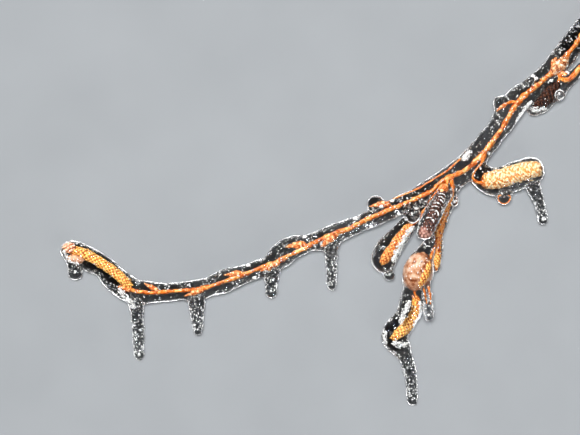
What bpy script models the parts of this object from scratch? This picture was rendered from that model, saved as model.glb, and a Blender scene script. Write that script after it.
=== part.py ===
"""A twig glazed in clear ice, with the icicles and round drops that hang from it, lying on a surface.

+X runs along the twig towards its cut end, -Y is the way the icicles grew and +Z is up from the
surface. The origin is below the middle of the whole piece, on that surface.

The glaze is solid ice, divided at its main forks. Each icicle, drop and bead is a solid of its own
that ends in a saddle where it froze to the glaze. The bare end of the twig stands out of the ice.
"""

from math import cos, pi, sin

import bmesh
import bpy
from mathutils import Vector

MM = 0.001
GAP = 0.3  # mm between neighbouring pieces
SIDES = 12  # facets round a branch of the glaze
STATION_STEP = 3.4  # mm between the rings of a branch
CAP_ANGLES = (32, 62)  # degrees from the equator of a round end to its rings
TWIG_RADIUS = 0.9  # mm, bare wood at the cut end
STUB_LENGTH = 4.6  # mm of bare wood past the ice

# Every route lists (x, y, z, radius) in mm along the middle of one piece of ice. A round end is a
# half ball about the route's last point.

# The glaze round the catkin at the end of the twig, down to its last node. It rests on its belly.
LEFT_CATKIN = (
    (-103.4, -16.6, 3.9, 4.0),
    (-99.4, -17.8, 4.15, 4.4),
    (-95.4, -20.2, 4.5, 4.8),
    (-90.2, -23.0, 4.2, 4.4),
    (-84.6, -28.6, 5.0, 5.0),
    (-78.2, -32.6, 5.5, 5.0),
)

# The long lower twig, swollen where a bud or the root of an icicle sits in the ice.
LOWER_TWIG = (
    (-78.2, -32.6, 5.5, 5.0),
    (-71.4, -33.2, 5.6, 4.2),
    (-65.0, -33.2, 5.7, 3.6),
    (-58.6, -32.6, 5.8, 3.6),
    (-51.4, -31.9, 5.9, 3.9),
    (-46.6, -30.6, 6.0, 3.7),
    (-41.4, -28.6, 6.1, 4.6),
    (-35.4, -26.5, 6.2, 3.7),
    (-29.0, -24.2, 6.3, 3.6),
    (-23.4, -21.6, 6.4, 3.4),
    (-19.0, -18.4, 6.5, 4.9),
    (-15.0, -15.6, 6.5, 4.7),
    (-10.6, -14.2, 6.6, 3.8),
    (-6.6, -13.0, 6.7, 3.4),
    (-2.6, -12.0, 6.8, 4.0),
    (4.6, -8.9, 6.9, 3.9),
    (12.6, -5.6, 7.1, 3.3),
    (20.6, -2.2, 7.3, 3.6),
    (28.6, 1.6, 7.5, 3.8),
    (36.6, 5.0, 7.7, 4.4),
    (44.6, 9.8, 7.9, 4.8),
    (49.4, 12.6, 8.0, 5.1),
)

# The thicker upper twig, from the main fork to the cut end, where it comes down to the surface.
UPPER_TWIG = (
    (49.4, 12.6, 8.0, 5.1),
    (55.0, 17.0, 8.0, 5.0),
    (60.6, 23.4, 7.9, 4.6),
    (67.6, 32.1, 7.5, 4.4),
    (71.0, 37.2, 7.2, 5.0),
    (75.0, 43.2, 6.8, 5.2),
    (80.6, 47.6, 6.2, 4.6),
    (85.2, 52.2, 5.7, 3.9),
    (89.4, 55.8, 5.3, 4.4),
    (94.0, 61.0, 4.9, 4.8),
    (99.0, 67.8, 4.25, 4.5),
    (103.8, 74.2, 3.95, 4.2),
)

# The short side twig beside the cut end, and the old seed cone that hangs next to it.
SIDE_TWIG = (
    (94.0, 50.6, 5.2, 3.2),
    (98.4, 53.8, 5.0, 2.5),
    (102.2, 57.4, 4.8, 2.1),
    (105.2, 60.4, 4.6, 1.9),
)
SEED_CONE = (
    (91.4, 50.2, 5.3, 3.2),
    (88.2, 46.2, 5.0, 4.2),
    (84.6, 42.2, 4.8, 3.8),
    (82.2, 40.2, 4.6, 2.6),
)

# The hanging shoot at the main fork and the four catkins round it.
HANGING_SHOOT = (
    (48.6, 9.4, 7.6, 4.0),
    (47.0, 2.6, 7.2, 3.2),
    (45.0, -4.2, 6.8, 2.7),
    (43.6, -10.2, 6.4, 2.4),
    (43.2, -15.4, 6.2, 2.5),
    (42.6, -22.6, 6.0, 2.4),
)
FRONT_CATKIN = (
    (46.2, 7.0, 11.0, 3.2),
    (43.0, 1.4, 11.5, 3.4),
    (40.2, -4.2, 12.0, 3.6),
    (38.2, -9.0, 12.2, 3.3),
)
EGG_CATKIN = (
    (42.6, -10.6, 7.5, 2.2),
    (39.8, -15.0, 8.2, 3.0),
    (37.0, -20.6, 8.6, 4.6),
    (35.8, -24.6, 8.6, 6.0),
    (35.2, -28.2, 8.5, 5.7),
)
LOWER_CATKIN = (
    (34.2, -33.8, 7.0, 4.8),
    (33.0, -39.4, 6.2, 5.0),
    (30.6, -44.2, 5.0, 4.8),
    (26.6, -50.6, 4.8, 5.3),
    (29.4, -56.0, 4.1, 3.7),
)
INCLINED_CATKIN = (
    (43.4, 7.0, 7.5, 2.8),
    (38.2, 0.6, 6.2, 3.0),
    (33.4, -4.2, 5.8, 3.4),
    (27.2, -12.0, 5.6, 4.4),
    (23.6, -16.6, 5.7, 5.2),
    (22.2, -20.2, 5.6, 5.0),
)

# The fat catkin on its short spur, right of the main fork.
RIGHT_CATKIN = (
    (58.0, 17.6, 7.8, 3.6),
    (61.4, 13.2, 7.5, 4.7),
    (66.6, 11.0, 7.2, 5.6),
    (71.8, 12.2, 7.0, 5.7),
    (76.6, 13.8, 6.9, 5.8),
    (80.6, 15.2, 6.8, 5.6),
)

# Lumps of glaze that stand up over a bud.
BUD_ON_LOWER_TWIG = ((19.4, -1.0, 7.3, 2.8), (18.8, 2.2, 7.5, 3.4))
BUD_ON_UPPER_TWIG = ((72.6, 41.4, 7.0, 3.6), (69.0, 42.2, 7.2, 3.4))

# The icicles, each from inside the glaze at its root to the middle of its round tip.
ICICLES = (
    (
        (-77.4, -35.0, 5.4, 3.6),
        (-76.8, -39.4, 5.1, 2.9),
        (-76.5, -44.2, 4.8, 2.5),
        (-76.2, -50.2, 4.4, 2.3),
        (-75.9, -58.4, 3.8, 2.1),
    ),
    (
        (-53.0, -35.0, 5.6, 3.2),
        (-52.7, -38.6, 5.4, 2.8),
        (-52.6, -42.2, 5.2, 2.6),
        (-52.4, -45.8, 5.0, 2.1),
        (-52.4, -48.4, 4.9, 2.1),
    ),
    (
        (-23.0, -23.4, 6.0, 3.0),
        (-23.0, -26.6, 5.8, 2.5),
        (-23.0, -30.2, 5.6, 2.3),
        (-23.0, -33.1, 5.4, 2.4),
    ),
    (
        (1.0, -13.0, 6.5, 3.4),
        (1.1, -16.6, 6.2, 2.8),
        (1.2, -21.0, 6.0, 2.3),
        (1.3, -25.8, 5.8, 2.1),
        (1.3, -30.2, 5.6, 2.1),
    ),
    (
        (29.0, -55.8, 4.4, 3.2),
        (31.0, -59.4, 4.3, 2.7),
        (32.6, -64.6, 4.0, 2.6),
        (33.4, -70.2, 3.8, 2.3),
        (33.6, -76.6, 3.6, 2.2),
    ),
    (
        (38.2, -29.8, 10.5, 2.4),
        (39.0, -34.2, 10.8, 2.1),
        (39.6, -38.6, 10.8, 2.0),
        (39.8, -42.3, 10.6, 2.1),
    ),
    (
        (81.0, 11.8, 6.6, 3.2),
        (82.4, 7.8, 6.2, 2.7),
        (83.8, 4.2, 5.9, 2.3),
        (85.0, 0.2, 5.6, 2.0),
        (85.8, -4.2, 5.2, 2.1),
    ),
)

# The drops that froze before they fell, each from inside the glaze to its middle.
DROPS = (
    ((-102.6, -19.4, 4.2, 3.0), (-101.6, -22.6, 4.1, 2.8), (-101.6, -25.5, 4.0, 3.0)),
    ((32.6, 2.6, 9.0, 2.8), (33.2, -2.2, 10.0, 3.3)),
    ((23.4, -22.6, 5.6, 2.6), (24.2, -26.0, 5.6, 2.5)),
    ((70.2, 8.6, 7.0, 3.2), (70.2, 4.8, 7.0, 3.0)),
    ((94.2, 49.4, 5.5, 2.0), (92.2, 45.8, 7.0, 2.6)),
    ((49.8, 5.4, 8.0, 1.8), (50.2, 2.6, 8.0, 1.8)),
)


def principled(name, colour, roughness, ior, transmission):
    """One material from its colour, gloss and how much light it lets through."""
    material = bpy.data.materials.new(name)
    material.use_nodes = True
    shader = material.node_tree.nodes["Principled BSDF"]
    shader.inputs["Base Color"].default_value = (*colour, 1)
    shader.inputs["Roughness"].default_value = roughness
    shader.inputs["IOR"].default_value = ior
    shader.inputs["Transmission Weight"].default_value = transmission
    return material


def between(before, start, end, after, t):
    """The Catmull-Rom curve through start and end, t of the way from one to the other."""
    return 0.5 * (
        2 * start
        + (end - before) * t
        + (2 * before - 5 * start + 4 * end - after) * t * t
        + (3 * start - before - 3 * end + after) * t**3
    )


def follow(route):
    """[middle, radius, direction] at even steps on the smooth curve through the route's points."""
    points = [Vector(point) for point in route]
    padded = [2 * points[0] - points[1], *points, 2 * points[-1] - points[-2]]
    found = []
    for before, start, end, after in zip(padded, padded[1:], padded[2:], padded[3:]):
        steps = max(1, round((end - start).length / STATION_STEP))
        found += [between(before, start, end, after, i / steps) for i in range(steps)]
    found.append(points[-1])
    ahead = found[1:] + found[-1:]
    behind = found[:1] + found[:-1]
    return [[p.xyz, p.w, (a - b).xyz.normalized()] for p, a, b in zip(found, ahead, behind)]


def part_at(path, point):
    """The two lengths of a path that meet at one of its route's points."""
    place = Vector(point[:3])
    at = min(range(len(path)), key=lambda i: (path[i][0] - place).length)
    return path[: at + 1], path[at:]


def ring(mesh, middle, radius, along, sides):
    """A ring of vertices square to along, with a facet and not a corner at its lowest side."""
    side = along.cross(Vector((0, 0, 1))).normalized()
    up = side.cross(along).normalized()
    turns = [2 * pi * (i + 0.5) / sides - pi / 2 for i in range(sides)]
    spots = [middle + radius * (cos(turn) * side + sin(turn) * up) for turn in turns]
    return [mesh.verts.new(spot) for spot in spots]


def half_ball(mesh, middle, radius, along, way, sides):
    """The rings of a round end from its equator outwards, and its pole. way is 1 along, or -1."""
    rings = []
    for angle in CAP_ANGLES:
        turn = angle * pi / 180
        centre = middle + along * way * radius * sin(turn)
        rings.append(ring(mesh, centre, radius * cos(turn), along, sides))
    return rings, mesh.verts.new(middle + along * way * radius)


def solid_along(name, path, grow=0.0, snapped_start=False, snapped_end=False, sides=SIDES):
    """One closed solid round a path, grown on every side by grow mm, with round or snapped ends.

    What would reach below the surface is melted flat on it."""
    mesh = bmesh.new()
    rings = [ring(mesh, spot, radius + grow, along, sides) for spot, radius, along in path]
    start_pole = end_pole = None
    if not snapped_start:
        spot, radius, along = path[0]
        cap, start_pole = half_ball(mesh, spot, radius + grow, along, -1, sides)
        rings = cap[::-1] + rings
    if not snapped_end:
        spot, radius, along = path[-1]
        cap, end_pole = half_ball(mesh, spot, radius + grow, along, 1, sides)
        rings += cap
    for near, far in zip(rings, rings[1:]):
        for i in range(sides):
            j = (i + 1) % sides
            mesh.faces.new((near[j], near[i], far[i], far[j]))
    for last, pole in ((rings[0], start_pole), (rings[-1][::-1], end_pole)):
        if pole is None:
            mesh.faces.new(last)
            continue
        for i in range(sides):
            mesh.faces.new((last[i], last[(i + 1) % sides], pole))
    for vertex in mesh.verts:
        if not grow:
            vertex.co.z = max(vertex.co.z, 0.0)
        vertex.co *= MM
    data = bpy.data.meshes.new(name)
    mesh.to_mesh(data)
    mesh.free()
    data.shade_smooth()
    thing = bpy.data.objects.new(name, data)
    bpy.context.collection.objects.link(thing)
    return thing


def room_for(name, path):
    """The space that a branch and the gap round it take out of what froze to it."""
    cutter = solid_along(f"room_for_{name}", path, grow=GAP)
    cutter.hide_render = True
    cutter.display_type = "WIRE"
    return cutter


def fit_to(thing, cutters):
    """Ends a piece in a saddle against each neighbour that it froze to."""
    for cutter in cutters:
        cut = thing.modifiers.new(f"saddle_on_{cutter.name}", "BOOLEAN")
        cut.operation = "DIFFERENCE"
        cut.solver = "EXACT"
        cut.object = cutter


def snapped(path, start=False, end=False):
    """A path pulled back by half the gap at each end where the ice is snapped across."""
    path = [list(station) for station in path]
    if start:
        path[0][0] = path[0][0] + path[0][2] * GAP / 2
    if end:
        path[-1][0] = path[-1][0] - path[-1][2] * GAP / 2
    return path


def build_main_glaze(ice):
    """The glaze along the twig itself, snapped across at its last node and at the main fork."""
    whole = follow(LEFT_CATKIN[:-1] + LOWER_TWIG[:-1] + UPPER_TWIG)
    left, rest = part_at(whole, LOWER_TWIG[0])
    lower, upper = part_at(rest, UPPER_TWIG[0])
    paths = {
        "left_catkin": snapped(left, end=True),
        "lower_twig": snapped(lower, start=True, end=True),
        "upper_twig": snapped(upper, start=True, end=True),
    }
    rooms = {}
    for name, path in paths.items():
        ends = {"snapped_start": name != "left_catkin", "snapped_end": True}
        solid_along(f"{name}_glaze", path, **ends).data.materials.append(ice)
        rooms[name] = room_for(name, path)
    return rooms


def build_branches(ice, rooms):
    """The glaze round each shoot and catkin, cut to fit the branches listed before it."""
    branches = (
        ("hanging_shoot", HANGING_SHOOT, ("lower_twig", "upper_twig")),
        ("front_catkin", FRONT_CATKIN, ("lower_twig", "upper_twig", "hanging_shoot")),
        ("egg_catkin", EGG_CATKIN, ("hanging_shoot", "front_catkin")),
        ("lower_catkin", LOWER_CATKIN, ("egg_catkin",)),
        (
            "inclined_catkin",
            INCLINED_CATKIN,
            ("lower_twig", "upper_twig", "hanging_shoot", "front_catkin"),
        ),
        ("right_catkin", RIGHT_CATKIN, ("lower_twig", "upper_twig", "hanging_shoot")),
        ("side_twig", SIDE_TWIG, ("upper_twig",)),
        ("seed_cone", SEED_CONE, ("upper_twig", "side_twig")),
    )
    for name, route, neighbours in branches:
        path = follow(route)
        branch = solid_along(f"{name}_glaze", path)
        branch.data.materials.append(ice)
        fit_to(branch, [rooms[neighbour] for neighbour in neighbours])
        rooms[name] = room_for(name, path)


def build_hanging_ice(ice, rooms):
    """The icicles, drops and bud lumps, each fitted to the branches that it grew on."""
    icicle_roots = (
        ("left_catkin", "lower_twig"),
        ("lower_twig",),
        ("lower_twig",),
        ("lower_twig",),
        ("lower_catkin",),
        ("egg_catkin", "lower_catkin"),
        ("right_catkin",),
    )
    drop_roots = (
        ("left_catkin",),
        ("lower_twig", "inclined_catkin", "front_catkin"),
        ("inclined_catkin",),
        ("right_catkin",),
        ("side_twig", "seed_cone"),
        ("upper_twig", "lower_twig", "hanging_shoot"),
    )
    pieces = [(f"icicle_{n}", *pair) for n, pair in enumerate(zip(ICICLES, icicle_roots), 1)]
    pieces += [(f"drop_{n}", *pair) for n, pair in enumerate(zip(DROPS, drop_roots), 1)]
    pieces.append(("lower_bud_glaze", BUD_ON_LOWER_TWIG, ("lower_twig",)))
    pieces.append(("upper_bud_glaze", BUD_ON_UPPER_TWIG, ("upper_twig",)))
    for name, route, roots in pieces:
        piece = solid_along(name, follow(route), sides=SIDES - 2)
        piece.data.materials.append(ice)
        fit_to(piece, [rooms[root] for root in roots])


def build_twig_end(bark):
    """The bare end of the twig, cut square, where it stands out of the ice."""
    inner = Vector(UPPER_TWIG[-2][:3])
    outer = Vector(UPPER_TWIG[-1][:3])
    along = (outer - inner).normalized()
    start = outer + along * GAP / 2
    path = [[start + along * length, TWIG_RADIUS, along] for length in (0.0, STUB_LENGTH)]
    stub = solid_along("twig_end", path, snapped_start=True, snapped_end=True, sides=SIDES - 2)
    stub.data.materials.append(bark)


def main():
    for thing in list(bpy.data.objects):
        bpy.data.objects.remove(thing)
    ice = principled("clear_ice", (0.86, 0.93, 0.96), 0.04, 1.31, 1.0)
    bark = principled("twig_bark", (0.30, 0.12, 0.05), 0.6, 1.5, 0.0)
    rooms = build_main_glaze(ice)
    build_branches(ice, rooms)
    build_hanging_ice(ice, rooms)
    build_twig_end(bark)


main()
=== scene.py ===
"""A length of birch twig sealed in clear ice, with its catkins, buds and icicles.

The ice is one continuous skin, grown from paths that run through the glaze and down each icicle.
Twig, buds, catkins, cone and trapped air lie inside it at their true size; the ice magnifies them.
Metres, with +Z up; the twig lies on three melted flats.
"""

import math
from functools import partial

import bpy
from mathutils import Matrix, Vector


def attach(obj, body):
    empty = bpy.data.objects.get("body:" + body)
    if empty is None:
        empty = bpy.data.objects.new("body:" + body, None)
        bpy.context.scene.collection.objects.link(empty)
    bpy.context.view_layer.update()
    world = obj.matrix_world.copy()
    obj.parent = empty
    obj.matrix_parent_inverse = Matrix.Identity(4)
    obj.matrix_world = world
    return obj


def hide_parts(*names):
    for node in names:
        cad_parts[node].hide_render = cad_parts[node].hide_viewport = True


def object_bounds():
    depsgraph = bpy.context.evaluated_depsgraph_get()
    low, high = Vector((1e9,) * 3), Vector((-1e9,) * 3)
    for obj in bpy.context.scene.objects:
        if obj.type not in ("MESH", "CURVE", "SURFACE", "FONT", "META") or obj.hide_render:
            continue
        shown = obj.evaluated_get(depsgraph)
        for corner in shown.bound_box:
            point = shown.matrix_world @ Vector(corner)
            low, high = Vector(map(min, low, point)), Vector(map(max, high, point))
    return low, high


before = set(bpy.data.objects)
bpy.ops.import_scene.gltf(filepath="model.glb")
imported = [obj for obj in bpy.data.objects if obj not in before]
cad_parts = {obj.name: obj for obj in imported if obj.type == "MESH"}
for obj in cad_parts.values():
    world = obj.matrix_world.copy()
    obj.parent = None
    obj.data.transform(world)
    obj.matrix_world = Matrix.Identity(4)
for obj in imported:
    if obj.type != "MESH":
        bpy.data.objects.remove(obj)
cad_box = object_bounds()

MM = 0.001
ARC_STEP = 20  # degrees

# Paths through the ice: x, y, z and radius at each point, in millimetres.
LEFT_CATKIN = [
    (-103.4, -16.6, 3.9, 4), (-99.4, -17.8, 4.15, 4.4), (-95.4, -20.2, 4.5, 4.8), (-90.2, -23, 4.2, 4.4),
    (-84.6, -28.6, 5, 5), (-78.2, -32.6, 5.5, 5),
]
LOWER_TWIG = [
    (-78.2, -32.6, 5.5, 5), (-71.4, -33.2, 5.6, 4.2), (-65, -33.2, 5.7, 3.6), (-58.6, -32.6, 5.8, 3.6),
    (-51.4, -31.9, 5.9, 3.9), (-46.6, -30.6, 6, 3.7), (-41.4, -28.6, 6.1, 4.6), (-35.4, -26.5, 6.2, 3.7),
    (-29, -24.2, 6.3, 3.6), (-23.4, -21.6, 6.4, 3.4), (-19, -18.4, 6.5, 4.9), (-15, -15.6, 6.5, 4.7),
    (-10.6, -14.2, 6.6, 3.8), (-6.6, -13, 6.7, 3.4), (-2.6, -12, 6.8, 4), (4.6, -8.9, 6.9, 3.9),
    (12.6, -5.6, 7.1, 3.3), (20.6, -2.2, 7.3, 3.6), (28.6, 1.6, 7.5, 3.8), (36.6, 5, 7.7, 4.4),
    (44.6, 9.8, 7.9, 4.8), (49.4, 12.6, 8, 5.1),
]
UPPER_TWIG = [
    (49.4, 12.6, 8, 5.1), (55, 17, 8, 5), (60.6, 23.4, 7.9, 4.6), (67.6, 32.1, 7.5, 4.4),
    (71, 37.2, 7.2, 5), (75, 43.2, 6.8, 5.2), (80.6, 47.6, 6.2, 4.6), (85.2, 52.2, 5.7, 3.9),
    (89.4, 55.8, 5.3, 4.4), (94, 61, 4.9, 4.8), (99, 67.8, 4.25, 4.5), (103.8, 74.2, 3.95, 4.2),
]
SIDE_TWIG = [
    (94, 50.6, 5.2, 3.2), (98.4, 53.8, 5, 2.5), (102.2, 57.4, 4.8, 2.1), (105.2, 60.4, 4.6, 1.9),
]
SEED_CONE = [
    (91.4, 50.2, 5.3, 3.2), (88.2, 46.2, 5, 4.2), (84.6, 42.2, 4.8, 3.8), (82.2, 40.2, 4.6, 2.6),
]
HANGING_SHOOT = [
    (48.6, 9.4, 7.6, 4), (47, 2.6, 7.2, 3.2), (45, -4.2, 6.8, 2.7), (43.6, -10.2, 6.4, 2.4),
    (43.2, -15.4, 6.2, 2.5), (42.6, -22.6, 6, 2.4),
]
FRONT_CATKIN = [
    (46.2, 7, 11, 3.2), (43, 1.4, 11.5, 3.4), (40.2, -4.2, 12, 3.6), (38.2, -9, 12.2, 3.3),
]
EGG_CATKIN = [
    (42.6, -10.6, 7.5, 2.2), (39.8, -15, 8.2, 3), (37, -20.6, 8.6, 4.6), (35.8, -24.6, 8.6, 6),
    (35.2, -28.2, 8.5, 5.7),
]
LOWER_CATKIN = [
    (34.2, -33.8, 7, 4.8), (33, -39.4, 6.2, 5), (30.6, -44.2, 5, 4.8), (26.6, -50.6, 4.8, 5.3),
    (29.4, -56, 4.1, 3.7),
]
INCLINED_CATKIN = [
    (43.4, 7, 7.5, 2.8), (38.2, 0.6, 6.2, 3), (33.4, -4.2, 5.8, 3.4), (27.2, -12, 5.6, 4.4),
    (23.6, -16.6, 5.7, 5.2), (22.2, -20.2, 5.6, 5),
]
RIGHT_CATKIN = [
    (58, 17.6, 7.8, 3.6), (61.4, 13.2, 7.5, 4.7), (66.6, 11, 7.2, 5.6), (71.8, 12.2, 7, 5.7),
    (76.6, 13.8, 6.9, 5.8), (80.6, 15.2, 6.8, 5.6),
]
GLAZE_BUDS = [
    [(19.4, -1, 7.3, 2.8), (18.8, 2.2, 7.5, 3.4)],
    [(72.6, 41.4, 7, 3.6), (69, 42.2, 7.2, 3.4)],
]
ICICLES = [
    [(-77.4, -35, 5.4, 3.6), (-76.8, -39.4, 5.1, 2.9), (-76.5, -44.2, 4.8, 2.5), (-76.2, -50.2, 4.4, 2.3),
     (-75.9, -58.4, 3.8, 2.1)],
    [(-53, -34.4, 5.6, 4.2), (-52.8, -37.4, 5.4, 3.2), (-52.6, -42.2, 5.2, 2.6), (-52.4, -45.8, 5, 2.1),
     (-52.4, -48.4, 4.9, 2.1)],
    [(-23.2, -22.8, 6, 4.4), (-23, -26.4, 5.8, 3.1), (-23, -30.2, 5.6, 2.3), (-23, -33.1, 5.4, 2.4)],
    [(1, -13, 6.5, 3.4), (1.1, -16.6, 6.2, 2.8), (1.2, -21, 6, 2.3), (1.3, -25.8, 5.8, 2.1),
     (1.3, -30.2, 5.6, 2.1)],
    [(29, -55.8, 4.4, 3.2), (31, -59.4, 4.3, 2.7), (32.6, -64.6, 4, 2.6), (33.4, -70.2, 3.8, 2.3),
     (33.6, -76.6, 3.6, 2.2)],
    [(38.2, -29.8, 10.5, 2.4), (39, -34.2, 10.8, 2.1), (39.6, -38.6, 10.8, 2), (39.8, -42.3, 10.6, 2.1)],
    [(81, 11.8, 6.6, 3.2), (82.4, 7.8, 6.2, 2.7), (83.8, 4.2, 5.9, 2.3), (85, 0.2, 5.6, 2),
     (85.8, -4.2, 5.2, 2.1)],
]
DROPS = [
    [(-102.6, -19.4, 4.2, 3), (-101.6, -22.6, 4.1, 2.8), (-101.6, -25.5, 4, 3)],
    [(32.6, 2.6, 9, 2.8), (33.2, -2.2, 10, 3.3)],
    [(23.6, -22.2, 5.6, 2.1), (24, -24.2, 5.6, 1.9), (24.3, -26.3, 5.6, 2.3)],
    [(70.2, 8.6, 7, 3.2), (70.2, 4.8, 7, 3)],
    [(94.2, 49.4, 5.5, 2), (92.2, 45.8, 7, 2.6)],
    [(49.8, 5.4, 8, 1.8), (50.2, 2.6, 8, 1.8)],
]
ICE_PATHS = [
    LEFT_CATKIN[:-1] + LOWER_TWIG[:-1] + UPPER_TWIG, SIDE_TWIG, SEED_CONE, HANGING_SHOOT, FRONT_CATKIN,
    EGG_CATKIN, LOWER_CATKIN, INCLINED_CATKIN, RIGHT_CATKIN,
] + GLAZE_BUDS + ICICLES + DROPS
RIPPLED = ICICLES + [FRONT_CATKIN]

# Paths through what is sealed in the ice: x, y, z and true radius, in millimetres.
MAIN_STEM = [
    (-79.6, -31, 5.4, 0.5), (-77.8, -32.6, 5.5, 0.62), (-71.4, -33.4, 5.6, 0.55),
    (-67.6, -33.2, 5.65, 0.66), (-63.4, -32.9, 5.7, 0.55), (-55.4, -32.2, 5.8, 0.55),
    (-50.2, -31.5, 5.9, 0.72), (-47.4, -30.8, 6, 0.6), (-39.4, -28, 6.1, 0.58), (-34.1, -26, 6.2, 0.72),
    (-31.4, -25, 6.3, 0.62), (-23.4, -21.8, 6.4, 0.6), (-19.2, -19.8, 6.45, 0.78),
    (-15.7, -17.8, 6.5, 0.64), (-8.6, -14.6, 6.7, 0.78), (-4.5, -12.6, 6.7, 0.64),
    (0.6, -10.4, 6.8, 0.66), (3.6, -9.2, 6.9, 0.82), (8.6, -7.4, 7, 0.68), (16.6, -3.5, 7.2, 0.7),
    (24.6, 0.1, 7.4, 0.86), (28.6, 1.7, 7.5, 0.65), (32.6, 3.2, 7.6, 0.68), (40.6, 7.1, 7.8, 0.71),
    (46.7, 11.7, 7.9, 0.9), (52.5, 14.7, 8, 0.77), (56.4, 17.5, 8, 0.74), (62.3, 23.6, 7.9, 0.85),
    (68.4, 31.6, 7.5, 0.74), (74.5, 41.5, 6.9, 0.88), (78.6, 45.8, 6.4, 0.77), (84.5, 50.7, 5.8, 0.77),
    (88.5, 54.3, 5.5, 0.85), (92.6, 59, 5.1, 0.9), (96.4, 63.1, 4.8, 0.79), (100.4, 68.3, 4.3, 0.78),
    (103.8, 74.2, 3.95, 0.79), (106.56, 77.88, 3.78, 0.79),
]
SHOOTS = [
    [(49.4, 12.4, 7.9, 0.8), (48.9, 10, 7.6, 0.95), (48.4, 5.8, 7.4, 0.92), (47.3, 1.8, 7.2, 1),
     (46.1, -2.2, 6.9, 1.2), (44.9, -6.2, 6.7, 1.05), (43.8, -10.2, 6.4, 1.25), (43.4, -14.2, 6.2, 1.05),
     (43.3, -18.2, 6.1, 0.95), (43, -21.4, 6, 0.9)],
    [(46.4, 11.2, 7.8, 0.7), (44.6, 7.9, 7.5, 0.78), (41.7, 4.3, 7, 0.74), (38.1, -0.5, 6.2, 0.7),
     (33.2, -5.7, 5.8, 0.62), (31.4, -7.8, 5.7, 0.5)],
    [(47.4, 11.4, 8.2, 0.6), (46.6, 9.6, 9.8, 0.55), (45.4, 6.8, 10.9, 0.5), (43, 1.4, 11.5, 0.45),
     (41.4, -2.2, 11.9, 0.45)],
    [(43.9, -9.6, 6.5, 0.6), (42.6, -12.8, 7.4, 0.45), (40.8, -17.2, 8.3, 0.42), (39.4, -21.2, 8.5, 0.4)],
    [(35.2, -28.6, 8.5, 0.5), (34.6, -31.6, 7.8, 0.42), (34.7, -35.8, 6.8, 0.42)],
    [(62.6, 24, 7.9, 0.7), (61.6, 21.5, 7.9, 0.66), (60.2, 18.4, 7.9, 0.6), (57.6, 14.4, 7.6, 0.62),
     (58.4, 12.4, 7.5, 0.58), (60.6, 11.2, 7.4, 0.55), (63.4, 11.2, 7.3, 0.5)],
    [(75.4, 42.8, 6.8, 0.66), (72.9, 42.6, 6.9, 0.6), (71.2, 41.8, 7, 0.55)],
    [(91.6, 55.8, 5.2, 0.9), (92.4, 53, 5.2, 0.85), (94.6, 51.6, 5.2, 0.8), (97.5, 53.1, 5.1, 0.84),
     (100.7, 56.5, 4.9, 0.84), (103, 58.7, 4.8, 0.78)],
    [(92.4, 53.6, 5.2, 0.7), (92, 51.2, 5.3, 0.6), (91, 49.4, 5.3, 0.6)],
]
THIN_SHOOTS = [
    [(53.6, 19.9, 8, 0.2), (50, 16.9, 8.2, 0.28), (46.2, 13.9, 8.3, 0.3), (40.2, 10.3, 8.1, 0.3),
     (34.1, 7, 7.9, 0.3), (28.1, 4.6, 7.6, 0.32), (24, 2.9, 7.5, 0.3)],
]
CATKINS = [
    [(-103.7, -16.3, 3.8, 0.9), (-101.9, -16.6, 4, 1.35), (-98.2, -17.8, 4.25, 1.6),
     (-95, -19.4, 4.5, 1.65), (-91.5, -21.4, 4.7, 1.68), (-87.6, -24, 4.9, 1.68),
     (-83.7, -27.3, 5.2, 1.62), (-80.6, -29.8, 5.4, 1.3), (-79, -31.2, 5.4, 0.8)],
    [(34.6, -34.4, 6.9, 0.9), (34.9, -36, 6.8, 1.5), (35.1, -38.5, 6.4, 1.68), (34, -41.9, 5.8, 1.68),
     (31.8, -45.5, 5, 1.68), (28.4, -49.3, 4.9, 1.6), (25.8, -51.8, 4.7, 0.95)],
    [(39.6, -20.8, 9.8, 0.5), (39.4, -22.1, 10.6, 1.2), (38.5, -24.8, 11.5, 1.65), (37, -27.8, 11.3, 1.5),
     (35.9, -29.8, 10.4, 0.8)],
    [(43.4, -16.6, 6.5, 0.7), (43.3, -18.2, 6.5, 1.5), (43.1, -20.4, 6.4, 1.5), (43, -22, 6.3, 1.1),
     (42.9, -22.9, 6.2, 0.5)],
]
AMBER_CATKIN = [
    [(33.4, -5.4, 5.7, 0.9), (32.1, -6.9, 5.7, 1.4), (29.2, -10.7, 5.6, 1.68), (26, -14.8, 5.7, 1.68),
     (23.3, -18.6, 5.6, 1.55), (21.6, -21.1, 5.6, 0.9)],
]
# The hanging shoot's own bracts, and the blushing end of the catkin in front of it.
SHOOT_BRACTS = [
    [(48.8, 8.6, 7.5, 0.8), (48.4, 5.8, 7.4, 1), (47.3, 1.8, 7.2, 1.1), (46.1, -2.2, 6.9, 1.2),
     (44.9, -6.2, 6.7, 1.2), (43.8, -10.2, 6.4, 1.3), (43.4, -14.2, 6.2, 1.35), (43.3, -18.2, 6.1, 1.35),
     (43, -21.4, 6, 1.1)],
]
BLUSHED_END = [
    [(39.4, -6.5, 12.1, 0.9), (39, -7.7, 12.1, 1.9), (38.4, -9.1, 12, 2), (37.9, -10.2, 11.9, 1.5),
     (37.6, -10.9, 11.9, 0.5)],
]
CATKIN_TIP = [
    [(-101.8, -16.2, 4.2, 0.9), (-102.8, -15.8, 4.3, 1.65), (-104, -15.5, 4.3, 1.75),
     (-105.2, -15.2, 4.2, 1.1), (-105.9, -15.1, 4.2, 0.3)],
]
DARK_CATKIN = [
    [(45.8, 8.4, 10.9, 0.7), (45.2, 6.6, 11.1, 1.3), (43.9, 3.2, 11.4, 1.5), (42.2, -0.6, 11.7, 1.65),
     (40.8, -4, 12, 1.8), (39.4, -7.4, 12.1, 1.9), (38.5, -9.8, 12.2, 1.1)],
]
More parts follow.
